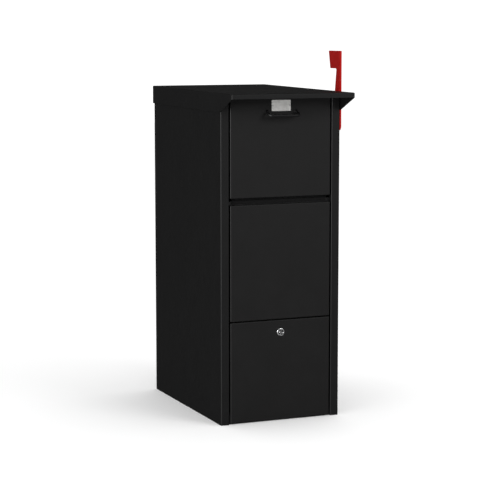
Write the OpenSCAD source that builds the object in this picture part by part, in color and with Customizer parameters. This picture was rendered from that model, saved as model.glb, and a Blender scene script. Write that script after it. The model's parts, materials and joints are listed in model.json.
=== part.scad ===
// Free-standing locking mail and parcel drop box in folded sheet steel.
// A pull-down hopper at the top takes the mail, a locked door at the bottom gives it back.
// Frame: millimetres, +Z up, the front faces -Y, origin on the ground at the middle of the base.

/* [Cabinet] */
// Outside width of the cabinet
body_width = 400; // [360:1:440]
// Outside depth of the cabinet
body_depth = 594; // [560:1:640]
// Height of the lid's top at its rear edge
overall_height = 1030; // [1020:1:1040]
// Thickness of the folded steel sheet
sheet = 1.5; // [1.2:0.1:1.8]
// Outside radius of a bend in the sheet
bend_radius = 3; // [2.5:0.1:4]
// Width of the stile on each side of the front
stile_width = 27.3; // [24:0.1:32]
// Depth of the return behind each stile
stile_return = 20; // [18:1:20]
// How far the back panel wraps round onto each side
back_wrap = 18; // [14:1:24]

/* [Lid] */
// How far the lid stands out in front of the cabinet
lid_front_overhang = 98; // [80:1:110]
// How far the lid stands out behind the cabinet
lid_rear_overhang = 4.5; // [4:0.5:8]
// How far the lid stands out on each side
lid_side_overhang = 3.5; // [3:0.1:5]
// How much lower the front edge of the lid is than its rear edge
lid_fall = 5.4; // [2:0.1:8]
// Height of the lid's front lip
lip_height = 15; // [12:1:18]
// Height of the lid's skirt along the sides and the back
skirt_height = 58; // [40:1:64]

/* [Front panels] */
// Gap between a front panel and the stile beside it
side_gap = 4.5; // [3.5:0.1:6]
// Height of the access door's lower edge above the ground
access_bottom = 5.5; // [5:0.1:7]
// Height of the access door's upper edge
access_top = 319; // [300:1:319]
// Height of the middle panel's lower edge
middle_bottom = 322; // [322:1:324]
// Height of the middle panel's upper edge
middle_top = 682.5; // [660:0.5:684]
// Height of the hopper door's lower edge
hopper_bottom = 703; // [702:1:706]
// Height of the hopper door's upper edge
hopper_top = 1012; // [1004:1:1012]

/* [Hopper] */
// How far the hopper door tilts open
hopper_open = 50; // [40:1:52]
// How steeply the tray falls to the rear when the hopper is shut
tray_slope = 35; // [30:1:38]
// Length of the tray's sloping part
tray_length = 290; // [260:1:292]
// Radius of the cheeks about the hinge
cheek_radius = 225; // [200:1:235]
// Height of the lower edge of the theft baffle
baffle_bottom = 760; // [740:1:800]

/* [Hardware] */
// Height of the cam lock
lock_z = 281; // [270:0.5:285]
// Diameter of the lock's front rim
lock_rim = 25; // [22:0.5:28]
// Distance between the two legs of the pull handle
handle_centres = 99; // [94:1:108]
// How far the pull handle stands out from the door
handle_reach = 35; // [30:1:40]
// Diameter of the pull handle's bar
handle_bar = 9.5; // [8:0.1:11]
// Width of the label plate
label_width = 63; // [58:1:75]
// Height of the label plate
label_height = 34; // [30:1:38]

/* [Flag] */
// Height of the flag's top edge when it is raised
flag_top = 1150; // [1120:1:1170]
// Height of the flag's pivot
flag_pivot_z = 917; // [910:1:925]
// Height of the flag's head
flag_head_height = 55; // [48:1:60]
// Length of the flag's head along its lower edge
flag_head_length = 69; // [60:1:80]

/* [Hidden] */

$fn = 48;
front_y = -body_depth / 2;
back_y = body_depth / 2;
half_width = body_width / 2;
opening_half = half_width - stile_width;
panel_half = opening_half - side_gap;
panel_inner_half = panel_half - sheet;
inner_half = half_width - sheet;

// Size of the blocks that cut everything on one side away
beyond = 1000;

// Lid frame: its origin is the middle of the rear top edge and the top sheet lies just under z = 0
lid_back_y = back_y + lid_rear_overhang;
lid_length = body_depth + lid_front_overhang + lid_rear_overhang;
lid_tilt = asin(lid_fall / lid_length);
lid_half = half_width + lid_side_overhang;
lid_flange = 20;
lid_flange_front = front_y + 47;
lid_flange_length = 515;
stud_r = 3;
stud_length = 12;
stud_inset = 10;
stud_rows = [-500, -290, -80];
lid_nut_r = 5.8;
lid_nut_height = 5;

// Joggle of the side panels, which slip inside the back panel's wrap
seam_gap = 0.8;

// Header rail behind the hopper door's upper edge
header_y = front_y + 22;
header_depth = 42;
header_top_flange = 20;
header_low_flange = 12;

// Folded returns behind the front panels
hopper_return = 16;
middle_return = 20;
access_return = 22;
hopper_floor_depth = 35;
hopper_lip_z = hopper_top - 34;
access_lip = 16;

// Piano hinges: the frame's knuckles are a little smaller, so the door's sheet clears them
hinge_length = 320;
knuckle_count = 9;
knuckle_r = 3.2;
frame_knuckle_r = 2.9;
hinge_pin_r = 1.5;
hinge_fit = 0.05;
knuckle_gap = 0.6;
leaf = 1.2;
frame_leaf_offset = knuckle_r + 0.3;
hopper_frame_leaf = 15;
hopper_door_leaf = 20;
access_leaf = 21;
hopper_axis_y = front_y + 13;
hopper_axis_z = hopper_bottom - knuckle_r;
access_axis_y = front_y + sheet + knuckle_r;
access_axis_z = access_bottom + knuckle_r;

// Sill under the hopper door and rail that the lock catches on
sill_y = hopper_axis_y + frame_leaf_offset;
sill_top = hopper_axis_z - knuckle_r - 2.6;
sill_depth = 24;
keeper_y = front_y + 21;
keeper_top = middle_bottom + 28;
keeper_flange = 14;

// Rivets of the hinges and the cheeks
rivet_r = 2;
rivet_head_r = 3.6;
rivet_head = 1;
hinge_rivet_rows = [-140 : 56 : 140];
threshold_rivet_z = access_axis_z + 13;
hopper_rivet_y = hopper_axis_y + 12;
cheek_rivet_y = front_y + 10;
cheek_rivet_rows = [740, 800, 860, 910];

// Threshold at the front of the floor pan
threshold_y = access_axis_y + frame_leaf_offset;
threshold_height = 32;
return_notch = 38;
anchor_x = 150;
anchor_y = 220;
anchor_r = 7;
floor_flange = 25;

// Tray
tray_start = [front_y + hopper_floor_depth, hopper_bottom + 2 * sheet];
tray_along = [cos(tray_slope), -sin(tray_slope)];
tray_down = [-sin(tray_slope), -cos(tray_slope)];
tray_end = tray_start + tray_length * tray_along;
tray_hem = 10;
tray_half = panel_inner_half - sheet;
cheek_end = 225;
stop_from = 238;
stop_size = 36;
stop_gap = 0.4;
stop_pad = 4;
stop_plate = 3;
stop_inner_x = 148;
stop_wall = 30;
stop_pad_x = 156;
stop_pad_r = 7;

// Baffle
baffle_y = 28;
baffle_half = 178;
baffle_top_flange = 22;
baffle_low_flange = 14;

// Lock
lock_rim_depth = 2.5;
lock_barrel_r = 9.5;
lock_back_y = front_y + 22.5;
lock_nut_r = 14;
lock_nut_height = 4;
plug_r = 6.25;
plug_fit = 0.05;
plug_face = 1;
cam_y = front_y + 23.5;
cam_thickness = 2.5;
cam_length = 57;
cam_width = 16;
keyway = [1.8, 9, 8.4];
cam_screw_depth = 6;
cam_screw_head_r = 4.2;
cam_screw_head = 2.4;

// Pull handle
handle_z = 966;
handle_drop = 11;
handle_bend = 12;
handle_r = handle_bar / 2;
handle_tilt = atan(handle_drop / (handle_reach - handle_r));
handle_screw_r = 2;
handle_screw_depth = 12;
handle_screw_head_r = 4.5;
handle_screw_head = 2.8;
handle_foot_flare = 1.8;
handle_foot = 4;

// Label plate
label_z = 985;
label_thickness = 1;
label_corner = 2;
label_pin_x = label_width / 2 - 3;
label_pin_r = 1.2;
label_pin_head_r = 2;
label_pin_head = 0.6;

// Bumpers
bumper_r = 6;
bumper_gap = 0.3;
hopper_bumper_x = 120;
hopper_bumper_drop = 29;
access_bumper_x = 110;
access_bumper = [16, 3, 40];

// Flag: plate beside the lid's skirt, with a stiffening flange along its front edge
flag_x = lid_half + 0.7;
flag_plate = 2;
flag_flange = 6.2;
flag_front_y = front_y + 11;
flag_arm = 25;
flag_foot = 38;
flag_foot_drop = 13;
flag_shoulder_z = flag_pivot_z + 88;
flag_slant = 12;
flag_pivot_y = flag_front_y + flag_foot / 2;
flag_bolt_r = 4;
flag_bolt_head = 3.5;
flag_bush_r = 6;
flag_collar_r = 8;
flag_collar = 1;
flag_fit = 0.05;
flag_nut_r = 7.5;
flag_nut_height = 6;
spacer_r = 11;
spacer_gap = 0.3;

// ---- outlines worked out by formula ----

// Points of the arc that rounds the corner p between the points a and b
function corner(a, p, b, r, steps = 6) =
    let (
        u = (a - p) / norm(a - p),
        v = (b - p) / norm(b - p),
        half = acos(u * v) / 2,
        centre = p + (u + v) / norm(u + v) * r / sin(half),
        from = p + u * r / tan(half) - centre,
        to = p + v * r / tan(half) - centre,
        turn = atan2(from[0] * to[1] - from[1] * to[0], from * to)
    )
    [for (i = [0 : steps])
        let (t = turn * i / steps)
        centre + [from[0] * cos(t) - from[1] * sin(t), from[0] * sin(t) + from[1] * cos(t)]];

// Outline through the given corners, each rounded by its own radius
function rounded(corners, radii) =
    let (n = len(corners))
    [for (i = [0 : n - 1])
        each corner(corners[(i + n - 1) % n], corners[i], corners[(i + 1) % n], radii[i])];

// ---- shapes shared by the sub-parts ----

// Extrudes an outline drawn in Y and Z along X
module along_x(x, thickness) {
    translate([x, 0, 0])
        rotate([90, 0, 90])
            linear_extrude(height = thickness)
                children();
}

// Round bar along X, centred on x = 0
module bar_x(r, length) {
    rotate([0, 90, 0])
        cylinder(r = r, h = length, center = true);
}

// Round bar from the origin towards +Y
module bar_y(r, length) {
    rotate([-90, 0, 0])
        cylinder(r = r, h = length);
}

// Copies its children to both sides
module both_sides() {
    children();
    mirror([1, 0, 0])
        children();
}

// Places its children in the lid's frame
module in_lid_frame() {
    translate([0, lid_back_y, overall_height])
        rotate([lid_tilt, 0, 0])
            children();
}

// Everything above the underside of the lid's top sheet
module above_lid_underside() {
    in_lid_frame()
        translate([-beyond, -beyond, -sheet])
            cube([2 * beyond, 2 * beyond, beyond]);
}

// Quarter of a bent sheet's section, in the quadrant where x and y are negative
module bend_2d() {
    difference() {
        intersection() {
            circle(r = bend_radius);
            translate([-bend_radius, -bend_radius])
                square(bend_radius);
        }
        circle(r = bend_radius - sheet);
    }
}

// Channel section seen from above: face along X at y = 0, walls towards +Y
module channel_2d(half, depth) {
    translate([-half + bend_radius, 0])
        square([2 * (half - bend_radius), sheet]);
    both_sides() {
        translate([-half + bend_radius, bend_radius])
            bend_2d();
        translate([-half, bend_radius])
            square([sheet, depth - bend_radius]);
    }
}

// Front panel folded back on all four sides
module folded_panel(z_low, z_high, depth) {
    translate([0, front_y, z_low])
        linear_extrude(height = z_high - z_low)
            channel_2d(panel_half, depth);
    for (z = [z_low, z_high - sheet])
        translate([-panel_inner_half, front_y + sheet, z])
            cube([2 * panel_inner_half, depth - sheet, sheet]);
}

// Hinge leaf along X that rises from the knuckles, its outer face at y = side * offset
module hinge_leaf(first, side, offset, r, bore, width) {
    pitch = hinge_length / knuckle_count;
    face = side > 0 ? offset - leaf : -offset;
    root = knuckle_r + 0.5;
    difference() {
        union() {
            translate([-hinge_length / 2, face, root])
                cube([hinge_length, leaf, width - root]);
            for (i = [first : 2 : knuckle_count - 1])
                translate([-hinge_length / 2 + i * pitch + knuckle_gap / 2, 0, 0]) {
                    translate([0, face, 0])
                        cube([pitch - knuckle_gap, leaf, root]);
                    rotate([0, 90, 0])
                        cylinder(r = r, h = pitch - knuckle_gap);
                }
        }
        bar_x(bore, hinge_length + 2);
    }
}

module side_panel() {
    stile_end = half_width - stile_width;
    seam_y = back_y - back_wrap - seam_gap;
    difference() {
        linear_extrude(height = overall_height) {
            translate([half_width - bend_radius, front_y + bend_radius])
                mirror([1, 0])
                    bend_2d();
            translate([stile_end + bend_radius, front_y + bend_radius])
                bend_2d();
            translate([stile_end + bend_radius, front_y])
                square([stile_width - 2 * bend_radius, sheet]);
            translate([stile_end, front_y + bend_radius])
                square([sheet, stile_return - bend_radius]);
            translate([inner_half, front_y + bend_radius])
                square([sheet, seam_y - front_y - bend_radius]);
            translate([inner_half - sheet, seam_y - sheet])
                square([2 * sheet, sheet]);
            translate([inner_half - sheet, seam_y - sheet])
                square([sheet, back_y - bend_radius - seam_y + sheet]);
        }
        above_lid_underside();
    }
    // Flange that the lid is bolted down to
    in_lid_frame()
        translate([inner_half - lid_flange, lid_flange_front - lid_back_y, -2 * sheet])
            cube([lid_flange, lid_flange_length, sheet]);
}

// ---- cabinet ----

module left_side_panel() {
    color("#202021")
        difference() {
            mirror([1, 0, 0])
                side_panel();
            lid_stud_places()
                cylinder(r = stud_r, h = 60, center = true);
        }
}

module right_side_panel() {
    color("#202021")
        difference() {
            side_panel();
            lid_stud_places()
                cylinder(r = stud_r, h = 60, center = true);
            translate([inner_half - 1, flag_pivot_y, flag_pivot_z])
                rotate([0, 90, 0])
                    cylinder(r = flag_bolt_r, h = 5);
        }
}

module back_panel() {
    color("#202021")
        difference() {
            translate([0, back_y, 0])
                mirror([0, 1, 0])
                    linear_extrude(height = overall_height)
                        channel_2d(half_width, back_wrap);
            above_lid_underside();
        }
}

module floor_pan() {
    plate_front = front_y + stile_return + 1;
    plate_back = back_y - sheet;
    color("#202021")
        difference() {
            union() {
                translate([-inner_half, plate_front, 0])
                    cube([2 * inner_half, plate_back - plate_front, sheet]);
                translate([-opening_half, threshold_y, 0])
                    cube([2 * opening_half, plate_front - threshold_y + 1, sheet]);
                translate([-opening_half, threshold_y, 0])
                    cube([2 * opening_half, sheet, threshold_height]);
                both_sides()
                    translate([inner_half - sheet, plate_front, 0])
                        cube([sheet, back_y - back_wrap - 5 - plate_front, floor_flange]);
            }
            // Clearance for the joggled rear edges of the side panels
            both_sides()
                translate([inner_half - sheet, back_y - back_wrap - 3, -1])
                    cube([10, back_wrap + 10, floor_flange + 2]);
            for (x = [-anchor_x, anchor_x], y = [-anchor_y, anchor_y])
                translate([x, y, -1])
                    cylinder(r = anchor_r, h = sheet + 2);
            threshold_rivet_places()
                bar_y(rivet_r, 6);
        }
}

module lid() {
    color("#222223")
        in_lid_frame() {
            translate([-lid_half, -lid_length, -sheet])
                cube([2 * lid_half, lid_length, sheet]);
            translate([-lid_half, -lid_length, -lip_height])
                cube([2 * lid_half, sheet, lip_height]);
            translate([-lid_half, -sheet, -skirt_height])
                cube([2 * lid_half, sheet, skirt_height]);
            for (x = [-lid_half, lid_half - sheet])
                along_x(x, sheet)
                    polygon([
                        [0, 0], [-lid_length, 0], [-lid_length, -lip_height],
                        [-lid_length + lid_front_overhang, -skirt_height], [0, -skirt_height]
                    ]);
        }
}

// Weld studs under the lid, through the flanges of the side panels
module lid_stud_places() {
    in_lid_frame()
        for (x = [-inner_half + stud_inset, inner_half - stud_inset], y = stud_rows)
            translate([x, y, 0])
                children();
}

module lid_studs() {
    color("#9a9c9e")
        lid_stud_places()
            translate([0, 0, -sheet - stud_length])
                cylinder(r = stud_r, h = stud_length);
}

module lid_nuts() {
    color("#9a9c9e")
        lid_stud_places()
            translate([0, 0, -2 * sheet - lid_nut_height])
                difference() {
                    cylinder(r = lid_nut_r, h = lid_nut_height, $fn = 6);
                    translate([0, 0, -1])
                        cylinder(r = stud_r, h = lid_nut_height + 2);
                }
}

module header_rail() {
    color("#1b1b1c")
        in_lid_frame()
            translate([-inner_half, header_y - lid_back_y, 0]) {
                translate([0, 0, -header_depth])
                    cube([2 * inner_half, sheet, header_depth - sheet]);
                translate([0, 0, -2 * sheet])
                    cube([2 * inner_half, header_top_flange, sheet]);
                translate([0, 0, -header_depth])
                    cube([2 * inner_half, header_low_flange, sheet]);
            }
}

module theft_baffle() {
    web_y = baffle_y - lid_back_y;
    web_height = overall_height - baffle_bottom;
    color("#1b1b1c")
        in_lid_frame()
            translate([-baffle_half, web_y, 0]) {
                translate([0, 0, -web_height])
                    cube([2 * baffle_half, sheet, web_height - sheet]);
                translate([0, 0, -web_height])
                    cube([2 * baffle_half, baffle_low_flange, sheet]);
                translate([0, 0, -2 * sheet])
                    cube([2 * baffle_half, baffle_top_flange, sheet]);
            }
}

module middle_panel() {
    color("#242425")
        folded_panel(middle_bottom, middle_top, middle_return);
}

module hopper_sill() {
    color("#1b1b1c") {
        translate([-opening_half, sill_y, middle_top])
            cube([2 * opening_half, sheet, sill_top - middle_top]);
        translate([-opening_half, sill_y, middle_top])
            cube([2 * opening_half, sill_depth, sheet]);
    }
}

module keeper_rail() {
    shelf_z = middle_bottom + sheet;
    color("#1b1b1c") {
        translate([-inner_half, keeper_y, shelf_z])
            cube([2 * inner_half, sheet, keeper_top - shelf_z]);
        translate([-panel_inner_half, front_y + bend_radius, shelf_z])
            cube([2 * panel_inner_half, keeper_y - front_y - bend_radius + sheet, sheet]);
        translate([-inner_half, keeper_y, keeper_top - sheet])
            cube([2 * inner_half, keeper_flange, sheet]);
    }
}

// Frame of the tray when the hopper is fully open: y runs along the tray from its bend
module in_open_tray_frame() {
    translate([0, hopper_axis_y, hopper_axis_z])
        rotate([hopper_open, 0, 0])
            translate([0, tray_start[0] - hopper_axis_y, tray_start[1] - hopper_axis_z])
                rotate([-tray_slope, 0, 0])
                    children();
}

module hopper_stop_brackets() {
    plate_z = stop_gap + stop_pad;
    color("#1b1b1c")
        both_sides()
            in_open_tray_frame() {
                translate([stop_inner_x, stop_from, plate_z])
                    cube([inner_half - stop_inner_x, stop_size, stop_plate]);
                translate([inner_half - stop_plate, stop_from, plate_z])
                    cube([stop_plate, stop_size, stop_wall]);
            }
}

module hopper_stop_pads() {
    color("#111111")
        both_sides()
            in_open_tray_frame()
                translate([stop_pad_x, stop_from + stop_size / 2, stop_gap])
                    cylinder(r = stop_pad_r, h = stop_pad);
}

// Rubber buttons on the header rail that the hopper door closes against
module hopper_bumpers() {
    lip_y = front_y + hopper_return + bumper_gap;
    color("#111111")
        in_lid_frame()
            for (x = [-hopper_bumper_x, hopper_bumper_x])
                translate([x, header_y - lid_back_y, -hopper_bumper_drop])
                    rotate([90, 0, 0])
                        cylinder(r = bumper_r, h = header_y - lip_y);
}

// Rubber blocks behind the keeper rail that the access door's upper lip closes against
module access_bumpers() {
    color("#111111")
        for (x = [-access_bumper_x, access_bumper_x])
            translate([x - access_bumper[0] / 2, keeper_y + sheet, access_top - access_lip + 2])
                cube(access_bumper);
}

module hopper_hinge_frame_leaf() {
    color("#2a2a2b")
        translate([0, hopper_axis_y, hopper_axis_z])
            rotate([180, 0, 0])
                hinge_leaf(0, -1, frame_leaf_offset, frame_knuckle_r, hinge_pin_r, hopper_frame_leaf);
}

module hopper_hinge_pin() {
    color("#8c8e90")
        translate([0, hopper_axis_y, hopper_axis_z])
            bar_x(hinge_pin_r, hinge_length);
}

module access_hinge_frame_leaf() {
    color("#2a2a2b")
        difference() {
            translate([0, access_axis_y, access_axis_z])
                hinge_leaf(0, 1, frame_leaf_offset, frame_knuckle_r, hinge_pin_r, access_leaf);
            threshold_rivet_places()
                bar_y(rivet_r, 6);
        }
}

module access_hinge_pin() {
    color("#8c8e90")
        translate([0, access_axis_y, access_axis_z])
            bar_x(hinge_pin_r, hinge_length);
}

module threshold_rivet_places() {
    for (x = hinge_rivet_rows)
        translate([x, threshold_y - leaf - rivet_head, threshold_rivet_z])
            children();
}

module threshold_rivets() {
    color("#8c8e90")
        threshold_rivet_places() {
            bar_y(rivet_head_r, rivet_head);
            bar_y(rivet_r, leaf + sheet + rivet_head);
            translate([0, leaf + sheet + rivet_head, 0])
                bar_y(rivet_head_r, rivet_head);
        }
}

module flag_spacer() {
    color("#8c8e90")
        translate([half_width, flag_pivot_y, flag_pivot_z])
            rotate([0, 90, 0])
                difference() {
                    cylinder(r = spacer_r, h = flag_x - half_width - spacer_gap);
                    translate([0, 0, -1])
                        cylinder(r = flag_bolt_r, h = 20);
                }
}

module flag_bolt() {
    head_x = flag_x + flag_plate + flag_collar + 0.4;
    tail_x = inner_half - flag_nut_height - 3;
    color("#a4a6a8")
        translate([0, flag_pivot_y, flag_pivot_z])
            rotate([0, 90, 0]) {
                translate([0, 0, tail_x])
                    cylinder(r = flag_bolt_r, h = head_x - tail_x);
                translate([0, 0, head_x])
                    cylinder(r1 = flag_collar_r + 0.5, r2 = flag_bush_r, h = flag_bolt_head);
            }
}

module flag_nut() {
    color("#a4a6a8")
        translate([inner_half, flag_pivot_y, flag_pivot_z])
            rotate([0, -90, 0])
                difference() {
                    cylinder(r = flag_nut_r, h = flag_nut_height, $fn = 6);
                    translate([0, 0, -1])
                        cylinder(r = flag_bolt_r, h = flag_nut_height + 2);
                }
}

// ---- hopper ----

module hopper_door() {
    color("#242425")
        difference() {
            union() {
                folded_panel(hopper_bottom, hopper_top, hopper_return);
                // Floor of the door, which carries the hinge and stops just short of the tray's bend
                translate([-panel_inner_half, front_y + sheet, hopper_bottom])
                    cube([2 * panel_inner_half, hopper_floor_depth - sheet - 1, sheet]);
                // Lip that meets the rubber buttons
                translate([-panel_inner_half, front_y + hopper_return - sheet, hopper_lip_z])
                    cube([2 * panel_inner_half, sheet, hopper_top - hopper_lip_z]);
            }
            both_sides()
                translate([handle_centres / 2, front_y - 1, handle_z])
                    bar_y(handle_screw_r, 4);
            label_pin_places()
                bar_y(label_pin_r, 4);
            hopper_hinge_rivet_places()
                cylinder(r = rivet_r, h = 8);
            cheek_rivet_places()
                cylinder(r = rivet_r, h = 8, center = true);
        }
}

module hopper_tray() {
    bend_back = sheet * tan(tray_slope / 2);
    front = front_y + 7;
    color("#1e1e1f")
        difference() {
            along_x(-tray_half, 2 * tray_half)
                polygon([
                    [front, tray_start[1]],
                    tray_start,
                    tray_end,
                    tray_end + tray_hem * tray_down,
                    tray_end + tray_hem * tray_down - sheet * tray_along,
                    tray_end + sheet * tray_down - sheet * tray_along,
                    [tray_start[0] - bend_back, tray_start[1] - sheet],
                    [front, tray_start[1] - sheet]
                ]);
            hopper_hinge_rivet_places()
                cylinder(r = rivet_r, h = 8);
        }
}

// Sector-shaped side of the hopper, with its arc centred on the hinge
module cheek() {
    cheek_low = hopper_bottom + sheet;
    tray_edge = tray_start + cheek_end * tray_along;
    front = front_y + bend_radius;
    arc_steps = 24;
    arc_from = acos((front - hopper_axis_y) / cheek_radius);
    arc_to = -8;
    difference() {
        along_x(panel_inner_half - sheet, sheet)
            polygon(concat(
                [[front, cheek_low]],
                [for (i = [0 : arc_steps])
                    let (a = arc_from + (arc_to - arc_from) * i / arc_steps)
                    [hopper_axis_y + cheek_radius * cos(a), hopper_axis_z + cheek_radius * sin(a)]],
                [tray_edge + 3 * tray_down, [tray_start[0], cheek_low]]
            ));
        cheek_rivet_places()
            cylinder(r = rivet_r, h = 8, center = true);
    }
}

module hopper_left_cheek() {
    color("#1e1e1f")
        mirror([1, 0, 0])
            cheek();
}

module hopper_right_cheek() {
    color("#1e1e1f")
        cheek();
}

// Rivets through the door's returns and the cheeks, with z pointing outwards
module cheek_rivet_places() {
    both_sides()
        for (z = cheek_rivet_rows)
            translate([panel_inner_half, cheek_rivet_y, z])
                rotate([0, 90, 0])
                    children();
}

module cheek_rivets() {
    color("#8c8e90")
        cheek_rivet_places() {
            translate([0, 0, -sheet])
                cylinder(r = rivet_r, h = 2 * sheet);
            translate([0, 0, -sheet - rivet_head])
                cylinder(r = rivet_head_r, h = rivet_head);
            translate([0, 0, sheet])
                cylinder(r = rivet_head_r, h = rivet_head);
        }
}

module hopper_hinge_door_leaf() {
    color("#2a2a2b")
        difference() {
            translate([0, hopper_axis_y, hopper_axis_z])
                rotate([-90, 0, 0])
                    hinge_leaf(1, -1, knuckle_r, knuckle_r, hinge_pin_r + hinge_fit, hopper_door_leaf);
            hopper_hinge_rivet_places()
                cylinder(r = rivet_r, h = 8);
        }
}

module hopper_hinge_rivet_places() {
    for (x = hinge_rivet_rows)
        translate([x, hopper_rivet_y, hopper_bottom - leaf - rivet_head])
            children();
}

module hopper_hinge_rivets() {
    stack = leaf + 2 * sheet;
    color("#8c8e90")
        hopper_hinge_rivet_places() {
            cylinder(r = rivet_head_r, h = rivet_head);
            cylinder(r = rivet_r, h = stack + rivet_head);
            translate([0, 0, stack + rivet_head])
                cylinder(r = rivet_head_r, h = rivet_head);
        }
}

// Bow handle: two legs, two bends and a bar, in a plane that drops towards the front
module pull_handle() {
    half = handle_centres / 2;
    reach = (handle_reach - handle_r) / cos(handle_tilt);
    color("#161616")
        difference() {
            translate([0, front_y, handle_z])
                rotate([handle_tilt, 0, 0]) {
                    translate([0, -reach, 0])
                        bar_x(handle_r, 2 * (half - handle_bend));
                    both_sides() {
                        translate([half, -reach + handle_bend, 0])
                            bar_y(handle_r, reach - handle_bend + handle_foot);
                        translate([half - handle_bend, -reach + handle_bend, 0])
                            rotate([0, 0, -90])
                                rotate_extrude(angle = 90)
                                    translate([handle_bend, 0])
                                        circle(r = handle_r);
                        translate([half, -handle_foot, 0])
                            bar_y(handle_r + handle_foot_flare, 2 * handle_foot);
                    }
                }
            translate([-beyond, front_y, 0])
                cube(2 * beyond);
            both_sides()
                translate([half, front_y - handle_screw_depth, handle_z])
                    bar_y(handle_screw_r, handle_screw_depth + 1);
        }
}

module handle_screws() {
    color("#9a9c9e")
        both_sides()
            translate([handle_centres / 2, front_y, handle_z]) {
                translate([0, -handle_screw_depth, 0])
                    bar_y(handle_screw_r, handle_screw_depth + sheet);
                translate([0, sheet, 0])
                    bar_y(handle_screw_head_r, handle_screw_head);
            }
}

module label_pin_places() {
    both_sides()
        translate([label_pin_x, front_y - label_thickness - 1, label_z])
            children();
}

module label_plate() {
    flat = [label_width - 2 * label_corner, label_height - 2 * label_corner];
    color("#b9b6ae")
        difference() {
            translate([0, front_y, label_z])
                rotate([90, 0, 0])
                    linear_extrude(height = label_thickness) {
                        square([label_width, flat[1]], center = true);
                        square([flat[0], label_height], center = true);
                        for (x = [-flat[0] / 2, flat[0] / 2], y = [-flat[1] / 2, flat[1] / 2])
                            translate([x, y])
                                circle(r = label_corner);
                    }
            label_pin_places()
                bar_y(label_pin_r, 5);
        }
}

module label_pins() {
    color("#a4a6a8")
        label_pin_places() {
            translate([0, 1, 0])
                bar_y(label_pin_r, label_thickness + sheet + 1);
            translate([0, 1 - label_pin_head, 0])
                bar_y(label_pin_head_r, label_pin_head);
        }
}

// ---- access door ----

module access_door() {
    color("#242425")
        difference() {
            union() {
                translate([0, front_y, access_bottom])
                    linear_extrude(height = access_top - access_bottom)
                        channel_2d(panel_half, access_return);
                translate([-panel_inner_half, front_y + sheet, access_top - sheet])
                    cube([2 * panel_inner_half, access_return - sheet, sheet]);
                translate([-panel_inner_half, front_y + access_return - sheet, access_top - access_lip])
                    cube([2 * panel_inner_half, sheet, access_lip]);
            }
            // The side returns stop above the threshold
            translate([-half_width, front_y + bend_radius, 0])
                cube([body_width, 40, return_notch]);
            translate([0, front_y - 1, lock_z])
                bar_y(lock_barrel_r, 4);
        }
}

module access_door_stiffener() {
    depth = 26;
    stiffener_half = 150;
    stiffener_bottom = 48;
    stiffener_height = 190;
    color("#1e1e1f")
        translate([0, front_y + sheet + depth, stiffener_bottom])
            mirror([0, 1, 0])
                linear_extrude(height = stiffener_height)
                    channel_2d(stiffener_half, depth);
}

module access_hinge_door_leaf() {
    color("#2a2a2b")
        translate([0, access_axis_y, access_axis_z])
            hinge_leaf(1, -1, knuckle_r, knuckle_r, hinge_pin_r + hinge_fit, access_leaf);
}

module lock_body() {
    color("#c9cbce")
        translate([0, front_y, lock_z])
            difference() {
                union() {
                    translate([0, -lock_rim_depth, 0])
                        bar_y(lock_rim / 2, lock_rim_depth);
                    bar_y(lock_barrel_r, lock_back_y - front_y);
                }
                translate([0, -lock_rim_depth - 1, 0])
                    bar_y(plug_r + plug_fit, 60);
            }
}

module lock_nut() {
    color("#a4a6a8")
        translate([0, front_y + sheet, lock_z])
            difference() {
                rotate([-90, 0, 0])
                    cylinder(r = lock_nut_r, h = lock_nut_height, $fn = 6);
                translate([0, -1, 0])
                    bar_y(lock_barrel_r, lock_nut_height + 2);
            }
}

module lock_plug() {
    plug_front = front_y - lock_rim_depth - plug_face;
    color("#c2c4c8")
        difference() {
            translate([0, plug_front, lock_z])
                bar_y(plug_r, cam_y - plug_front);
            translate([-keyway[0] / 2, plug_front - 1, lock_z - keyway[2] / 2])
                cube(keyway);
            translate([0, cam_y - cam_screw_depth, lock_z])
                bar_y(rivet_r, cam_screw_depth + 2);
        }
}

module lock_cam() {
    color("#a4a6a8")
        difference() {
            union() {
                translate([0, cam_y, lock_z])
                    bar_y(cam_width / 2, cam_thickness);
                translate([0, cam_y, lock_z - cam_width / 2])
                    cube([cam_length, cam_thickness, cam_width]);
            }
            translate([0, cam_y - 1, lock_z])
                bar_y(rivet_r, cam_thickness + 2);
        }
}

module cam_screw() {
    color("#8c8e90")
        translate([0, cam_y, lock_z]) {
            translate([0, -cam_screw_depth, 0])
                bar_y(rivet_r, cam_screw_depth + cam_thickness);
            translate([0, cam_thickness, 0])
                bar_y(cam_screw_head_r, cam_screw_head);
        }
}

// ---- flag ----

module flag() {
    head_low = flag_top - flag_head_height;
    head_back = flag_front_y + flag_head_length;
    foot_low = flag_pivot_z - flag_foot_drop;
    arm_back = flag_front_y + flag_arm;
    foot_back = flag_front_y + flag_foot;
    color("#b01818")
        difference() {
            union() {
                along_x(flag_x, flag_plate)
                    polygon(rounded(
                        [
                            [flag_front_y, foot_low], [flag_front_y, flag_top],
                            [head_back + flag_slant, flag_top], [head_back, head_low],
                            [arm_back, head_low], [foot_back, flag_shoulder_z], [foot_back, foot_low]
                        ],
                        [1, 2, 3, 3, 4, 20, 9]
                    ));
                // Stiffening flange along the front edge, cut off at a slant at its foot
                translate([flag_x, flag_front_y + flag_plate, 0])
                    rotate([90, 0, 0])
                        linear_extrude(height = flag_plate)
                            polygon(rounded(
                                [
                                    [0, foot_low], [flag_flange - 3, foot_low],
                                    [flag_flange, foot_low + 9], [flag_flange, flag_top], [0, flag_top]
                                ],
                                [0.5, 1, 3, 2, 0.5]
                            ));
            }
            translate([flag_x - 1, flag_pivot_y, flag_pivot_z])
                rotate([0, 90, 0])
                    cylinder(r = flag_bush_r, h = flag_plate + 2);
        }
}

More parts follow.
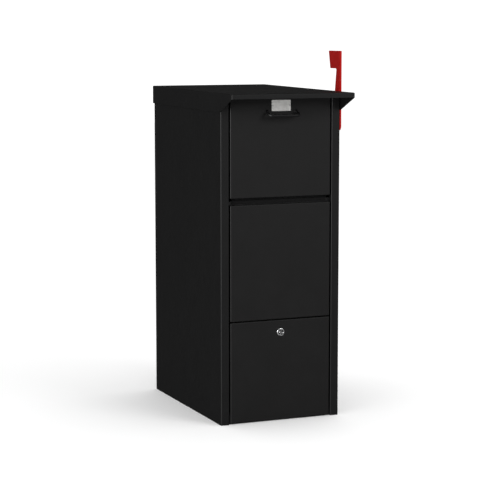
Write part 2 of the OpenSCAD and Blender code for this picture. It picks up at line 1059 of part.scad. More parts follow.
// Nylon bush pressed into the flag, turning on the bolt
module flag_bush() {
    color("#d8d8d4")
        translate([flag_x, flag_pivot_y, flag_pivot_z])
            rotate([0, 90, 0])
                difference() {
                    union() {
                        cylinder(r = flag_bush_r, h = flag_plate);
                        translate([0, 0, flag_plate])
                            cylinder(r = flag_collar_r, h = flag_collar);
                    }
                    translate([0, 0, -1])
                        cylinder(r = flag_bolt_r + flag_fit, h = flag_plate + 4);
                }
}

left_side_panel();
right_side_panel();
back_panel();
floor_pan();
lid();
lid_studs();
lid_nuts();
header_rail();
theft_baffle();
middle_panel();
hopper_sill();
keeper_rail();
hopper_stop_brackets();
hopper_stop_pads();
hopper_bumpers();
access_bumpers();
hopper_hinge_frame_leaf();
hopper_hinge_pin();
access_hinge_frame_leaf();
access_hinge_pin();
threshold_rivets();
flag_spacer();
flag_bolt();
flag_nut();
hopper_door();
hopper_tray();
hopper_left_cheek();
hopper_right_cheek();
hopper_hinge_door_leaf();
hopper_hinge_rivets();
cheek_rivets();
pull_handle();
handle_screws();
label_plate();
label_pins();
access_door();
access_door_stiffener();
access_hinge_door_leaf();
lock_body();
lock_nut();
lock_plug();
lock_cam();
cam_screw();
flag();
flag_bush();
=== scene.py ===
"""Looks for the mail and parcel drop box: powder-coated sheet steel, chrome lock, red flag."""
import json
import math

import bmesh
import bpy
from mathutils import Matrix, Vector


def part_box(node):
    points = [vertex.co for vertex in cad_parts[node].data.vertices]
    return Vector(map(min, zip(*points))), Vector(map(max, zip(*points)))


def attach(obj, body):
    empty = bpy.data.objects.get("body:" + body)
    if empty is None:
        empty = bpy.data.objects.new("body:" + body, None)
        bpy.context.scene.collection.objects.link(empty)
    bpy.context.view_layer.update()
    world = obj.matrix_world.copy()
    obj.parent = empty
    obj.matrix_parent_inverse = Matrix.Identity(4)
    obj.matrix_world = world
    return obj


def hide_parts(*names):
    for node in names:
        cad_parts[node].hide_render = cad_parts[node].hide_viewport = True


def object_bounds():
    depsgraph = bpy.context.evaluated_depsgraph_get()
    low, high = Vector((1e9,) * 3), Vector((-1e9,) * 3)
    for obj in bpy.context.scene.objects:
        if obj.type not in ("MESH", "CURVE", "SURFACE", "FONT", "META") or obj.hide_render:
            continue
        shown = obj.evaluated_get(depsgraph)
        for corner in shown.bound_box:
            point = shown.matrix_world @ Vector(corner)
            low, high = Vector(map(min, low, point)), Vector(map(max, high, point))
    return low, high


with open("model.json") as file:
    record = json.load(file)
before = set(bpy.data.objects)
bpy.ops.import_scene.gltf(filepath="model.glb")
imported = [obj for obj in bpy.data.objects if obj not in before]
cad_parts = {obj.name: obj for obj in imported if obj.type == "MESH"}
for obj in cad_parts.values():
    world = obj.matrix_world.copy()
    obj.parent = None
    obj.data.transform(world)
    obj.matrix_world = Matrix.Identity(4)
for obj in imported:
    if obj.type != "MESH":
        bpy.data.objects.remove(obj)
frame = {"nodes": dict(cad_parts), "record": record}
nodes = frame["nodes"]
cad_low, cad_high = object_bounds()

scene = bpy.context.scene
record = frame["record"]
slot_of = {part["node"]: part["material_slot"] for part in record["subparts"]}
body_of = {node: body for body, members in record["behaviour"]["bodies"].items() for node in members}

MM = 0.001
SHEET = 1.5 * MM            # thickness of the folded steel
BEND = 3 * MM               # outside radius of its bends
EDGE = 0.3 * MM             # softening of cut edges
SAME = 0.01 * MM            # points closer than this are one point
# Near-black colour of the painted shade in the grooves of plated metal
GROOVE_SHADE = (0.012, 0.012, 0.012)


# ---------------------------------------------------------------- materials

class Surface:
    """A material under construction, in metres of the object's own space."""

    def __init__(self, name, colour, roughness, metallic=0.0, specular=0.5):
        self.material = bpy.data.materials.new(name)
        self.material.use_nodes = True
        self.tree = self.material.node_tree
        self.shader = self.tree.nodes["Principled BSDF"]
        self.shader.inputs["Base Color"].default_value = (*colour, 1)
        self.shader.inputs["Roughness"].default_value = roughness
        self.shader.inputs["Metallic"].default_value = metallic
        self.shader.inputs["Specular IOR Level"].default_value = specular
        self.place = self.add("ShaderNodeTexCoord").outputs["Object"]
        self.normal = None

    def add(self, kind, settings=(), **sockets):
        node = self.tree.nodes.new(kind)
        for key, value in dict(settings).items():
            setattr(node, key, value)
        for key, value in sockets.items():
            socket = node.inputs[key.replace("_", " ")]
            if isinstance(value, bpy.types.NodeSocket):
                self.tree.links.new(value, socket)
            else:
                socket.default_value = value
        return node

    def stretched(self, scale):
        return self.add("ShaderNodeMapping", Vector=self.place, Scale=scale).outputs["Vector"]

    def noise(self, scale, detail=2.0, roughness=0.5, place=None):
        node = self.add("ShaderNodeTexNoise", Vector=place or self.place, Scale=scale,
                        Detail=detail, Roughness=roughness)
        return node.outputs["Fac"]

    def ramp(self, value, low, high, to_low=0.0, to_high=1.0):
        """value from low..high to to_low..to_high, clamped."""
        node = self.add("ShaderNodeMapRange", Value=value, To_Min=to_low, To_Max=to_high)
        node.inputs["From Min"].default_value = low
        node.inputs["From Max"].default_value = high
        return node.outputs["Result"]

    def times(self, a, b):
        node = self.add("ShaderNodeMath", {"operation": "MULTIPLY"})
        for socket, value in zip(node.inputs, (a, b)):
            if isinstance(value, bpy.types.NodeSocket):
                self.tree.links.new(value, socket)
            else:
                socket.default_value = value
        return node.outputs[0]

    def mix(self, factor, a, b):
        node = self.add("ShaderNodeMix", {"data_type": "RGBA"})
        self.tree.links.new(factor, node.inputs["Factor"])
        for socket, value in zip(node.inputs[6:8], (a, b)):
            if isinstance(value, bpy.types.NodeSocket):
                self.tree.links.new(value, socket)
            else:
                socket.default_value = (*value, 1)
        return node.outputs[2]

    def bump(self, height, distance, strength=1.0):
        """Adds a layer of relief, distance metres high."""
        node = self.add("ShaderNodeBump", Height=height, Distance=distance, Strength=strength)
        if self.normal:
            self.tree.links.new(self.normal, node.inputs["Normal"])
        self.normal = node.outputs["Normal"]

    def edges(self, radius, low=0.002, high=0.06):
        """1 on edges and 0 on flat faces, from how far a rounded normal leaves the true one."""
        rounded = self.add("ShaderNodeBevel", {"samples": 6}, Radius=radius)
        plain = self.add("ShaderNodeNewGeometry")
        dot = self.add("ShaderNodeVectorMath", {"operation": "DOT_PRODUCT"})
        self.tree.links.new(rounded.outputs["Normal"], dot.inputs[0])
        self.tree.links.new(plain.outputs["Normal"], dot.inputs[1])
        return self.ramp(dot.outputs["Value"], 1.0 - high, 1.0 - low, 1.0, 0.0)

    def finish(self, colour=None, roughness=None):
        for value, name in ((colour, "Base Color"), (roughness, "Roughness"), (self.normal, "Normal")):
            if value is not None:
                self.tree.links.new(value, self.shader.inputs[name])
        return self.material


def powder_coat(name, colour, worn_and_highlit, roughness=(0.46, 0.56), specular=0.22, peel=1.0, wear_and_highlight=0.5):
    """Baked powder paint: orange peel, fine grain, uneven gloss, and lighter edges that are partly rubbed
    wear and partly a painted highlight.
    """
    s = Surface(name, colour, roughness[0], specular=specular)
    patches = s.ramp(s.noise(5.0, 4.0, 0.6), 0.3, 0.7)
    grain = s.noise(2600.0, 2.0, 0.6)
    # Lighter colour in patches along every edge: partly rubbed wear, partly a painted highlight on the edges
    rubbed_and_highlit = s.times(s.edges(0.9 * MM), s.ramp(s.noise(55.0, 5.0, 0.7), 0.42, 0.72, 0.0, wear_and_highlight))
    pale = tuple(1.08 * c for c in colour)
    base = s.mix(patches, colour, pale)
    base = s.mix(s.ramp(grain, 0.62, 0.8, 0.0, 0.35), base, tuple(2.0 * c for c in colour))
    base = s.mix(rubbed_and_highlit, base, worn_and_highlit)
    s.bump(s.noise(420.0, 2.0, 0.45), 0.05 * MM * peel, 0.5)
    s.bump(grain, 0.012 * MM * peel, 0.5)
    gloss = s.ramp(s.noise(16.0, 5.0, 0.65), 0.3, 0.7, roughness[0], roughness[1])
    return s.finish(base, gloss)


def plated(name, colour, roughness, streak=None, grain=900.0, scratch=0.004 * MM, metallic=1.0,
           groove_shade=None):
    """Plated or polished metal with faint scratches, brushed by streak, and painted shade that darkens its
    grooves.
    """
    s = Surface(name, colour, roughness, metallic=metallic)
    place = s.stretched(streak) if streak else s.place
    fine = s.noise(grain, 4.0, 0.65, place)
    cloud = s.ramp(s.noise(60.0, 4.0, 0.6), 0.3, 0.7)
    dull = tuple(0.72 * c for c in colour)
    base = s.mix(cloud, colour, dull)
    if groove_shade:
        # Painted shade: the base colour turns near-black where ambient occlusion finds a groove, such as the
        # ring round the lock's plug
        clear = s.add("ShaderNodeAmbientOcclusion", {"samples": 8}, Distance=groove_shade).outputs["AO"]
        base = s.mix(s.ramp(clear, 0.62, 0.94), GROOVE_SHADE, base)
    s.bump(fine, scratch, 0.8)
    return s.finish(base, s.ramp(fine, 0.3, 0.7, 0.8 * roughness, 1.35 * roughness))


def moulded(name, colour, roughness, grain, depth, specular=0.4):
    """Rubber or plastic: fine moulded grain with dusty highs."""
    s = Surface(name, colour, roughness, specular=specular)
    fine = s.noise(grain, 3.0, 0.6)
    s.bump(fine, depth, 0.7)
    dust = s.ramp(s.noise(90.0, 4.0, 0.6), 0.4, 0.75, 0.0, 0.5)
    base = s.mix(dust, colour, tuple(min(1, 1.35 * c) for c in colour))
    return s.finish(base, s.ramp(fine, 0.3, 0.7, roughness - 0.07, roughness + 0.07))


finishes = {
    "cabinet_paint": powder_coat("cabinet_powder", (0.0066, 0.0066, 0.0068), (0.05, 0.05, 0.05)),
    "front_paint": powder_coat("front_powder", (0.0082, 0.0080, 0.0081), (0.055, 0.055, 0.055)),
    # The inner black is lighter than the outer paint: painted light that brightens the shaded recess under
    # the hopper door
    "inner_paint": powder_coat("inner_powder", (0.0115, 0.0115, 0.0119), (0.05, 0.05, 0.052),
                               roughness=(0.5, 0.62), peel=1.5, wear_and_highlight=0.35),
    # The hinge black is darker than the rest: painted shade, so the hinge in the gap under the hopper door
    # reads as near-black
    "hinge_steel": powder_coat("hinge_coat", (0.004, 0.004, 0.0042), (0.03, 0.03, 0.03),
                               roughness=(0.5, 0.62), specular=0.15, peel=0.6, wear_and_highlight=0.6),
    "handle_paint": powder_coat("handle_enamel", (0.006, 0.006, 0.0064), (0.05, 0.05, 0.05),
                                roughness=(0.42, 0.54), specular=0.25, peel=0.5, wear_and_highlight=0.6),
    "flag_paint": powder_coat("flag_powder", (0.36, 0.0044, 0.0030), (0.42, 0.03, 0.024),
                              roughness=(0.46, 0.58), specular=0.05, peel=0.9, wear_and_highlight=0.5),
    "zinc": plated("zinc_plate", (0.55, 0.56, 0.57), 0.36),
    # The lock's chrome gets painted shade in its grooves, reaching 6 mm
    "lock_chrome": plated("lock_chrome", (0.9, 0.9, 0.91), 0.26, grain=1500.0, scratch=0.002 * MM,
                          metallic=0.88, groove_shade=6 * MM),
    "label_metal": plated("label_satin", (0.68, 0.675, 0.655), 0.42, streak=(60.0, 900.0, 900.0), grain=4.0,
                          metallic=0.25),
    "rubber": moulded("black_rubber", (0.016, 0.016, 0.016), 0.78, 2200.0, 0.02 * MM, specular=0.3),
    "nylon": moulded("natural_nylon", (0.66, 0.65, 0.6), 0.5, 1600.0, 0.01 * MM),
}


# ---------------------------------------------------------------- making and placing pieces

def add_modifier(piece, kind, **settings):
    modifier = piece.modifiers.new(kind.lower(), kind)
    for key, value in settings.items():
        setattr(modifier, key, value)


def soften_edges(piece, width=EDGE, angle=35):
    """Rounds the edges a little and keeps the large faces flat in shading."""
    add_modifier(piece, "BEVEL", width=width, segments=2, limit_method="ANGLE",
                 angle_limit=math.radians(angle), harden_normals=True, use_clamp_overlap=True)
    add_modifier(piece, "WEIGHTED_NORMAL", weight=80, keep_sharp=True)


def finish_node(name):
    """A CAD node keeps its shape; it gets its finish and softened edges."""
    node = nodes[name]
    node.data.materials.clear()
    node.data.materials.append(finishes[slot_of[name]])
    add_modifier(node, "WELD", merge_threshold=SAME)
    add_modifier(node, "DECIMATE", decimate_type="DISSOLVE", angle_limit=math.radians(0.5))
    soften_edges(node)


def stand_for(name, mesh, node, sharp=None):
    """Adds a mesh as the piece that stands for a CAD node, on its body and with its finish."""
    mesh.materials.append(finishes[slot_of[node]])
    mesh.shade_smooth()
    if sharp:
        mesh.set_sharp_from_angle(angle=math.radians(sharp))
    piece = bpy.data.objects.new(name, mesh)
    scene.collection.objects.link(piece)
    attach(piece, body_of[node])
    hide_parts(node)
    return piece


def mesh_of(name, bm):
    mesh = bpy.data.meshes.new(name)
    bm.to_mesh(mesh)
    bm.free()
    return mesh


def depth_of(node):
    low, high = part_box(node)
    return high.y - low.y


def folded_sheet(name, node, faces, outward, radius=BEND, thickness=SHEET, transform=None):
    """Folded metal: the first face looks outward, shared edges are bends, and the metal lies inside."""
    bm = bmesh.new()
    points = {}
    for face in faces:
        corners = []
        for p in face:
            key = tuple(round(c, 7) for c in p)
            if key not in points:
                points[key] = bm.verts.new(p)
            corners.append(points[key])
        bm.faces.new(corners)
    bmesh.ops.recalc_face_normals(bm, faces=bm.faces)
    bm.faces.ensure_lookup_table()
    bm.normal_update()
    if bm.faces[0].normal.dot(Vector(outward)) < 0:
        bmesh.ops.reverse_faces(bm, faces=bm.faces)
    folds = [edge for edge in bm.edges if len(edge.link_faces) == 2]
    bmesh.ops.bevel(bm, geom=folds, offset=radius, segments=5, profile=0.5, affect="EDGES")
    if transform:
        bmesh.ops.transform(bm, matrix=transform, verts=bm.verts)
    piece = stand_for(name, mesh_of(name, bm), node)
    add_modifier(piece, "SOLIDIFY", thickness=thickness, offset=-1, use_even_offset=True,
                 use_quality_normals=True)
    soften_edges(piece)
    return piece


def add_loft(bm, rings, cap_first=True, cap_last=True):
    """Skin over rings of equally many points."""
    loops = [[bm.verts.new(p) for p in ring] for ring in rings]
    for a, b in zip(loops, loops[1:]):
        for i in range(len(a)):
            j = (i + 1) % len(a)
            bm.faces.new((a[i], a[j], b[j], b[i]))
    if cap_first:
        bm.faces.new(reversed(loops[0]))
    if cap_last:
        bm.faces.new(loops[-1])


def turned_rings(profile, centre, axis, steps):
    """Rings round an axis through centre. A profile entry is (along, radius), and each may be a
    function of the angle, as for a hexagon or a slot."""
    turn = Vector((0, 0, 1)).rotation_difference(Vector(axis)).to_matrix()

    def value(item, angle):
        return item(angle) if callable(item) else item

    rings = []
    for along, radius in profile:
        ring = []
        for i in range(steps):
            a = 2 * math.pi * i / steps
            r = value(radius, a)
            ring.append(Vector(centre) + turn @ Vector((r * math.cos(a), r * math.sin(a), value(along, a))))
        rings.append(ring)
    return rings


def turned(name, node, profile, places, axis, steps=48, sharp=30, hollow=False):
    """One turned shape at each of the places, along the axis."""
    bm = bmesh.new()
    for centre in places:
        rings = turned_rings(profile, centre, axis, steps)
        if hollow:
            add_loft(bm, rings + rings[:1], False, False)
        else:
            add_loft(bm, rings)
    bmesh.ops.remove_doubles(bm, verts=bm.verts, dist=0.001 * MM)
    bmesh.ops.recalc_face_normals(bm, faces=bm.faces)
    return stand_for(name, mesh_of(name, bm), node, sharp)


def solids(node):
    """(low, high) of every separate solid in a CAD node, such as each rivet of a row."""
    bm = bmesh.new()
    bm.from_mesh(nodes[node].data)
    bmesh.ops.remove_doubles(bm, verts=bm.verts, dist=SAME)
    left = set(bm.verts)
    boxes = []
    while left:
        group, front = [], [left.pop()]
        while front:
            vert = front.pop()
            group.append(vert.co.copy())
            for edge in vert.link_edges:
                other = edge.other_vert(vert)
                if other in left:
                    left.remove(other)
                    front.append(other)
        boxes.append((Vector(map(min, *group)), Vector(map(max, *group))))
    bm.free()
    return sorted(boxes, key=lambda pair: tuple(round(c, 5) for c in pair[0]))


def hexagon(flat):
    """Radius of a hexagon with that distance from its middle to a side, by angle."""
    def radius(angle):
        part = (angle + math.pi / 6) % (math.pi / 3) - math.pi / 6
        return flat / math.cos(part)
    return radius


def slot_radius(half_length, half_width, turn=0.0):
    """Radius of a rectangular slot, by angle."""
    def radius(angle):
        c, s = abs(math.cos(angle - turn)), abs(math.sin(angle - turn))
        return min(half_length / max(c, 1e-6), half_width / max(s, 1e-6))
    return radius


# ---------------------------------------------------------------- sheet pieces

def make_lid():
    """Folded lid with a front lip, side skirts that taper under the overhang and a rear skirt."""
    fall, lip, skirt, overhang, stand_off = 5.4 * MM, 15 * MM, 58 * MM, 98 * MM, 4.5 * MM
    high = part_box("lid")[1]
    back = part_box("back_panel")[1].y + stand_off
    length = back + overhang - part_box("middle_panel")[0].y
    half = high.x
    faces = [
        [(-half, 0, 0), (-half, -length, 0), (half, -length, 0), (half, 0, 0)],
        [(-half, -length, 0), (-half, -length, -lip), (half, -length, -lip), (half, -length, 0)],
        [(half, 0, 0), (half, 0, -skirt), (-half, 0, -skirt), (-half, 0, 0)],
    ]
    for x in (-half, half):
        faces.append([(x, 0, 0), (x, -length, 0), (x, -length, -lip),
                      (x, overhang - length, -skirt), (x, 0, -skirt)])
    tilt = Matrix.Rotation(math.asin(fall / length), 4, "X")
    folded_sheet("lid_shell", "lid", faces, (0, 0, 1), transform=Matrix.Translation((0, back, high.z)) @ tilt)


def pan_faces(node, depth, floor=None, lip=0.0, notch=None):
    """Front panel folded back on its sides and top, and below by floor. lip is the second fold of
    the top, and notch is (height, depth) of the cut-outs at the foot of the sides."""
    low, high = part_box(node)
    x, y, z0, z1 = high.x, low.y, low.z, high.z
    back = y + depth
    inset = 7 * MM              # how far the second folds keep from the sides
    faces = [[(-x, y, z0), (x, y, z0), (x, y, z1), (-x, y, z1)]]
    for side in (-x, x):
        foot = [(side, back, z0), (side, y, z0)]
        if notch:
            foot = [(side, back, z0 + notch[0]), (side, y + notch[1], z0 + notch[0]),
                    (side, y + notch[1], z0), (side, y, z0)]
        faces.append([(side, y, z1), (side, back, z1)] + foot)
    top = [(-x, y, z1), (x, y, z1), (x, back, z1)]
    if lip:
        top += [(x - inset, back, z1), (inset - x, back, z1)]
        faces.append([(inset - x, back, z1), (x - inset, back, z1),
                      (x - inset, back, z1 - lip), (inset - x, back, z1 - lip)])
    faces.append(top + [(-x, back, z1)])
    if floor:
        foot = [(-x, y, z0), (x, y, z0), (x, back, z0)]
        if floor > depth:
            foot += [(x - inset, back, z0), (x - inset, y + floor, z0),
                     (inset - x, y + floor, z0), (inset - x, back, z0)]
        faces.append(foot + [(-x, back, z0)])
    return faces


def make_front_panels():
    front = (0, -1, 0)
    hopper_sides, hopper_lip, access_lip = 16 * MM, 34 * MM, 16 * MM
    hinge_notch = (32.5 * MM, 3.4 * MM)
    faces = pan_faces("hopper_door", hopper_sides, floor=depth_of("hopper_door"), lip=hopper_lip)
    folded_sheet("hopper_door_skin", "hopper_door", faces, front)
    depth = depth_of("middle_panel")
    folded_sheet("middle_panel_skin", "middle_panel", pan_faces("middle_panel", depth, floor=depth), front)
    faces = pan_faces("access_door", depth_of("access_door"), lip=access_lip, notch=hinge_notch)
    folded_sheet("access_door_skin", "access_door", faces, front)


def round_corners(corners, radii, steps=8):
    """Points of an outline through the corners (pairs), each rounded by its own radius."""
    points = []
    count = len(corners)
    for i, r in enumerate(radii):
        p = Vector(corners[i])
        u = (Vector(corners[i - 1]) - p).normalized()
        v = (Vector(corners[(i + 1) % count]) - p).normalized()
        half = u.angle(v) / 2
        if r <= 0:
            points.append(p)
            continue
        centre = p + (u + v).normalized() * r / math.sin(half)
        first = p + u * r / math.tan(half) - centre
        last = p + v * r / math.tan(half) - centre
        turn = math.atan2(first.x * last.y - first.y * last.x, first.dot(last))
        for k in range(steps + 1):
            points.append(centre + Matrix.Rotation(turn * k / steps, 2) @ first)
    return points


def make_flag():
    """Flag plate with a stiffening flange folded outwards along its front edge."""
    low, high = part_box("flag")
    x, y, z0, z1 = low.x, low.y, low.z, high.z
    head, arm, foot, slant = 69 * MM, 25 * MM, 38 * MM, 12 * MM
    head_low, shoulder = z1 - 55 * MM, z0 + 101 * MM
    flange = high.x - low.x
    cut, cut_height = 3 * MM, 9 * MM        # corner cut off the flange's foot
    plate = round_corners(
        [(y, z0), (y, z1), (y + head + slant, z1), (y + head, head_low), (y + arm, head_low),
         (y + foot, shoulder), (y + foot, z0)],
        [0, 0, 3 * MM, 3 * MM, 4 * MM, 20 * MM, 9 * MM])
    edge = round_corners(
        [(x, z0), (x + flange - cut, z0), (x + flange, z0 + cut_height), (x + flange, z1), (x, z1)],
        [0, 1 * MM, 3 * MM, 2 * MM, 0])
    faces = [[(x, p[0], p[1]) for p in plate], [(p[0], y, p[1]) for p in edge]]
    folded_sheet("flag_blade", "flag", faces, (-1, 0, 0), radius=2.6 * MM, thickness=2 * MM)


# ---------------------------------------------------------------- handle, label and lock

def make_handle():
    """Bow handle swept round its two bends, with feet that flare onto the door."""
    low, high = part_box("pull_handle")
    screws = solids("handle_screws")
    half = (screws[-1][0].x + screws[-1][1].x) / 2
    start_z = (screws[0][0].z + screws[0][1].z) / 2
    bar, bend, drop = 4.75 * MM, 12 * MM, 11 * MM
    flare, flare_length = 1.8 * MM, 3.2 * MM
    front, reach = high.y, high.y - low.y - bar
    tilt = math.atan2(drop, reach)
    reach /= math.cos(tilt)
    path = [(half, s * MM) for s in (0.0, 1.0, 2.2, 3.6, 5.2, 7.2, 9.5, 13.0)]
    bend_steps = 12
    for k in range(bend_steps + 1):
        a = math.pi / 2 * k / bend_steps
        path.append((half - bend + bend * math.cos(a), reach - bend + bend * math.sin(a)))
    path += [(x * MM, reach) for x in (26, 13, 0)]
    path += [(-x, f) for x, f in reversed(path[:-1])]
    rings, steps = [], 28
    for i, (x, forward) in enumerate(path):
        a, b = path[max(i - 1, 0)], path[min(i + 1, len(path) - 1)]
        along = Vector((b[0] - a[0], b[1] - a[1])).normalized()
        across = Vector((-along.y, along.x))
        swell = flare * math.exp(-(forward / flare_length) ** 2)
        ring = []
        for k in range(steps):
            t = 2 * math.pi * k / steps
            side, up = (bar + swell) * math.cos(t), (bar + swell) * math.sin(t)
            f = forward + across.y * side
            p = Vector((x + across.x * side, -f * math.cos(tilt) + up * math.sin(tilt),
                        -f * math.sin(tilt) - up * math.cos(tilt)))
            if forward < 0.5 * MM:
                p.y = 0.4 * MM          # the foot ends flat, just inside the door's face
            ring.append(p + Vector((0, front, start_z)))
        rings.append(ring)
    bm = bmesh.new()
    add_loft(bm, rings)
    bmesh.ops.recalc_face_normals(bm, faces=bm.faces)
    stand_for("pull_handle_bow", mesh_of("pull_handle_bow", bm), "pull_handle", sharp=50)


def make_label():
    """Blank badge with rounded corners and a raised rim round a brushed field."""
    low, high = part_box("label_plate")
    middle_z = (low.z + high.z) / 2
    corner, least = 2.2 * MM, 0.5 * MM

    def outline(inset, y):
        x, z = high.x - inset, (high.z - low.z) / 2 - inset
        corners = [(-x, -z), (x, -z), (x, z), (-x, z)]
        radius = max(corner - inset, least)
        return [(p[0], y, middle_z + p[1]) for p in round_corners(corners, [radius] * 4, 6)]

    top = low.y
    rings = [outline(0, high.y), outline(0, top + 0.25 * MM), outline(0.1 * MM, top + 0.08 * MM),
             outline(0.28 * MM, top), outline(1.0 * MM, top), outline(1.2 * MM, top + 0.1 * MM),
             outline(1.35 * MM, top + 0.3 * MM), outline(1.7 * MM, top + 0.34 * MM)]
    bm = bmesh.new()
    add_loft(bm, rings)
    bmesh.ops.recalc_face_normals(bm, faces=bm.faces)
    stand_for("label_badge", mesh_of("label_badge", bm), "label_plate", sharp=40)


def make_lock():
    """Cam lock: rounded rim, groove round the plug, threaded barrel, and plug with a keyway."""
    low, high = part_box("lock_body")
    plug_low, plug_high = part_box("lock_plug")
    centre = Vector(((low.x + high.x) / 2, low.y, (low.z + high.z) / 2))
    rim, barrel, bore, groove = high.x, 9.5 * MM, 6.3 * MM, 8.4 * MM
    rim_depth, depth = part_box("access_door")[0].y - low.y, depth_of("lock_body")
    crown, crown_depth = groove + 0.6 * MM, 2.2 * MM
    profile = [(depth, bore), (2.1 * MM, bore), (2.0 * MM, groove), (0.35 * MM, groove),
               (0.1 * MM, groove + 0.25 * MM), (0, crown)]
    round_steps = 8
    for k in range(1, round_steps + 1):
        a = math.pi / 2 * k / round_steps
        profile.append((crown_depth * (1 - math.cos(a)), rim - (rim - crown) * (1 - math.sin(a))))
    profile += [(rim_depth, rim), (rim_depth, barrel - 0.5 * MM)]
    turns, pitch, thread_depth, relief = 18, 1.0 * MM, 0.55 * MM, 1.6 * MM
    for k in range(turns):
        start = rim_depth + relief + k * pitch
        profile += [(start, barrel - thread_depth), (start + 0.5 * pitch, barrel)]
    profile.append((depth, barrel - 0.6 * MM))
    turned("lock_rim", "lock_body", profile, [centre], (0, 1, 0), steps=72, hollow=True)

    recess = 0.9 * MM
    face = Vector((centre.x, plug_low.y + recess, centre.z))
    radius = 6.22 * MM
    length = plug_high.y - face.y
    slot = slot_radius(4.1 * MM, 0.95 * MM)
    chamfer = slot_radius(4.35 * MM, 1.2 * MM)
    profile = [(1.9 * MM, slot), (0.3 * MM, slot), (0, chamfer), (0, 4.6 * MM), (0.3 * MM, 4.9 * MM),
               (2.2 * MM, 5.0 * MM), (2.3 * MM, radius), (length, radius)]
    turned("lock_plug_face", "lock_plug", profile, [face], (0, 1, 0), steps=144)


# ---------------------------------------------------------------- fasteners

def dome(radius, height, steps=6):
    """Profile of a domed head from its top at 0 to its rim at height."""
    points = [(0, 0.02 * MM)]
    for k in range(1, steps + 1):
        a = math.pi / 2 * k / steps
        points.append((height * (1 - math.cos(a)), radius * math.sin(a)))
    return points


def make_rivets(name, node, axis):
    """Rivets with a domed head at the end that the axis comes from and a flat upset tail."""
    direction = Vector(axis)
    places, length, radius = [], 0.0, 0.0
    for low, high in solids(node):
        middle, size = (low + high) / 2, high - low
        length = abs(size.dot(direction))
        side = 1 if abs(direction.x) < 0.5 else math.copysign(1, middle.x)
        places.append((middle - direction * side * length / 2, direction * side))
        radius = (size.x if abs(direction.x) < 0.5 else size.z) / 2
    shank, head, tail = 2 * MM, 1 * MM, 1 * MM
    profile = dome(radius, head)
    profile += [(head, shank), (length - tail, shank), (length - tail, 0.92 * radius),
                (length - 0.3 * MM, 0.92 * radius), (length, 0.75 * radius)]
    bm = bmesh.new()
    for place, way in places:
        add_loft(bm, turned_rings(profile, place, way, 28))
    bmesh.ops.recalc_face_normals(bm, faces=bm.faces)
    stand_for(name, mesh_of(name, bm), node, sharp=35)


def nut_profile(flat, height, bore):
    """Hexagon nut with chamfered corners at both ends and a countersunk bore."""
    outer = hexagon(flat)
    end, sink = 0.97 * flat, 0.5 * MM

    def fall(angle):
        return (outer(angle) - end) * math.tan(math.radians(30))

    return [(sink, bore), (0, bore + sink), (0, end), (fall, outer),
            (lambda a: height - fall(a), outer), (height, end), (height, bore + sink),
            (height - sink, bore)]


def make_fasteners():
    make_rivets("hopper_hinge_rivet_row", "hopper_hinge_rivets", (0, 0, 1))
    make_rivets("threshold_rivet_row", "threshold_rivets", (0, 1, 0))
    make_rivets("cheek_rivet_rows", "cheek_rivets", (-1, 0, 0))
    make_rivets("label_drive_pins", "label_pins", (0, 1, 0))

    low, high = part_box("lock_nut")
    middle = (low + high) / 2
    turned("lock_hex_nut", "lock_nut", nut_profile((high.z - low.z) / 2, high.y - low.y, 9.5 * MM),
           [(middle.x, low.y, middle.z)], (0, 1, 0), steps=72, hollow=True)

    low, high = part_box("flag_nut")
    middle = (low + high) / 2
    flat = min(high.y - low.y, high.z - low.z) / 2
    turned("flag_hex_nut", "flag_nut", nut_profile(flat, high.x - low.x, 4 * MM),
           [(low.x, middle.y, middle.z)], (1, 0, 0), steps=72, hollow=True)

    nuts = solids("lid_nuts")
    size = nuts[-1][1] - nuts[-1][0]
    places = [((a.x + b.x) / 2, (a.y + b.y) / 2, a.z) for a, b in nuts]
    profile = nut_profile(min(size.x, size.y) / 2, 5 * MM, 3 * MM)
    turned("lid_hex_nuts", "lid_nuts", profile, places, (0, 0, 1), steps=72, hollow=True)

    low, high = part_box("flag_bolt")
    middle = (low + high) / 2
    head, head_height, shank = 8.5 * MM, 3.5 * MM, 4 * MM
    length, socket = high.x - low.x, hexagon(2.5 * MM)
    profile = [(2.2 * MM, socket), (0.25 * MM, socket), (0, 3.3 * MM), (0, 4.6 * MM)]
    for k in range(7):
        a = math.radians(25 + 65 * k / 6)
        profile.append((head_height * (1 - math.cos(a)), head * (0.42 + 0.58 * math.sin(a))))
    profile += [(head_height, head), (head_height, shank), (length - 0.6 * MM, shank), (length, 3.4 * MM)]
    turned("flag_button_bolt", "flag_bolt", profile, [(high.x, middle.y, middle.z)], (-1, 0, 0), steps=72)

    arm = slot_radius(2.3 * MM, 0.55 * MM)
    other_arm = slot_radius(2.3 * MM, 0.55 * MM, math.pi / 2)

    def cross(angle):
        return max(arm(angle), other_arm(angle))

    places = [((a.x + b.x) / 2, b.y, (a.z + b.z) / 2) for a, b in solids("handle_screws")]
    head, head_height, shank, length = 4.5 * MM, 2.8 * MM, 2 * MM, depth_of("handle_screws")
    profile = [(1.4 * MM, cross), (0.1 * MM, cross), (0, 2.5 * MM)]
    for k in range(6):
        a = math.radians(30 + 60 * k / 5)
        profile.append((2.0 * MM * (1 - math.cos(a)), head * (0.25 + 0.75 * math.sin(a))))
    profile += [(head_height, head), (head_height, shank), (length, shank)]
    turned("handle_pan_screws", "handle_screws", profile, places, (0, -1, 0), steps=96)


def make_bumpers():
    """Round rubber buttons with a rounded nose and a waist where they snap into the rail."""
    places = []
    for low, high in solids("hopper_bumpers"):
        places.append(((low.x + high.x) / 2, low.y, (low.z + high.z) / 2))
        radius, length = (high.x - low.x) / 2, high.y - low.y
    profile = dome(radius, 1.5 * MM)
    profile += [(0.55 * length, radius), (0.65 * length, 0.85 * radius), (length, 0.95 * radius)]
    turned("hopper_bumper_buttons", "hopper_bumpers", profile, places, (0, 1, 0), steps=40)


# ---------------------------------------------------------------- camera and studio

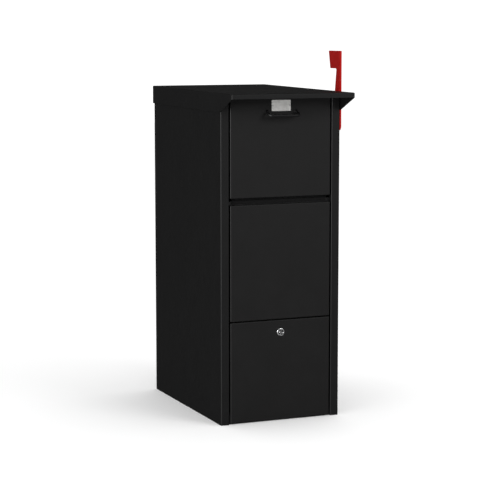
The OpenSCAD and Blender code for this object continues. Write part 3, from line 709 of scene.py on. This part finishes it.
def make_camera():
    """A long lens to the left of the box and a little above it."""
    yaw, pitch = math.radians(22.90), math.radians(7.44)
    data = bpy.data.cameras.new("camera")
    data.sensor_width = 36.0
    data.lens = 121.15
    data.clip_start, data.clip_end = 0.1, 60.0
    camera = bpy.data.objects.new("camera", data)
    camera.location = (-2.0981, -5.0187, 1.2131)
    camera.rotation_euler = (math.pi / 2 - pitch, 0.0, -yaw)
    scene.collection.objects.link(camera)
    scene.camera = camera


def add_area(name, location, size, power):
    """Soft rectangular light that looks at the middle of the box."""
    data = bpy.data.lights.new(name, "AREA")
    data.shape = "RECTANGLE"
    data.size, data.size_y = size
    data.energy = power
    light = bpy.data.objects.new(name, data)
    light.location = location
    aim = (cad_low + cad_high) / 2 - Vector(location)
    light.rotation_euler = aim.to_track_quat("-Z", "Y").to_euler()
    scene.collection.objects.link(light)
    return light


def make_studio():
    world = bpy.data.worlds.new("studio")
    world.use_nodes = True
    # White behind the box, soft light from all round, and a darker room in its reflections
    tree = world.node_tree
    background = tree.nodes["Background"]
    path = tree.nodes.new("ShaderNodeLightPath")
    room = tree.nodes.new("ShaderNodeMix")
    room.data_type = "FLOAT"
    white, reflected = 1.15, 0.068
    room.inputs["A"].default_value = white
    room.inputs["B"].default_value = reflected
    tree.links.new(path.outputs["Is Glossy Ray"], room.inputs["Factor"])
    tree.links.new(room.outputs["Result"], background.inputs["Strength"])
    background.inputs["Color"].default_value = (1.0, 1.0, 1.0, 1.0)
    scene.world = world
    bm = bmesh.new()
    bmesh.ops.create_grid(bm, x_segments=8, y_segments=8, size=16.0)
    mesh = mesh_of("floor", bm)
    floor = bpy.data.objects.new("floor", mesh)
    scene.collection.objects.link(floor)
    pale = Surface("studio_floor", (0.94, 0.94, 0.94), 0.85, specular=0.1)
    mesh.materials.append(pale.finish())
    floor.visible_glossy = False
    add_area("key", (2.2, -3.8, 2.6), (2.2, 2.2), 60)
    # The strip draws thin lines on the left bends and adds nothing to the flat faces
    strip = add_area("strip", (-3.9, -2.2, 1.0), (0.4, 2.4), 330)
    strip.visible_diffuse = False
    scene.view_settings.view_transform = "Standard"


make_camera()
make_studio()
make_lid()
make_front_panels()
make_flag()
make_handle()
make_label()
make_lock()
make_fasteners()
make_bumpers()
for name in nodes:
    finish_node(name)
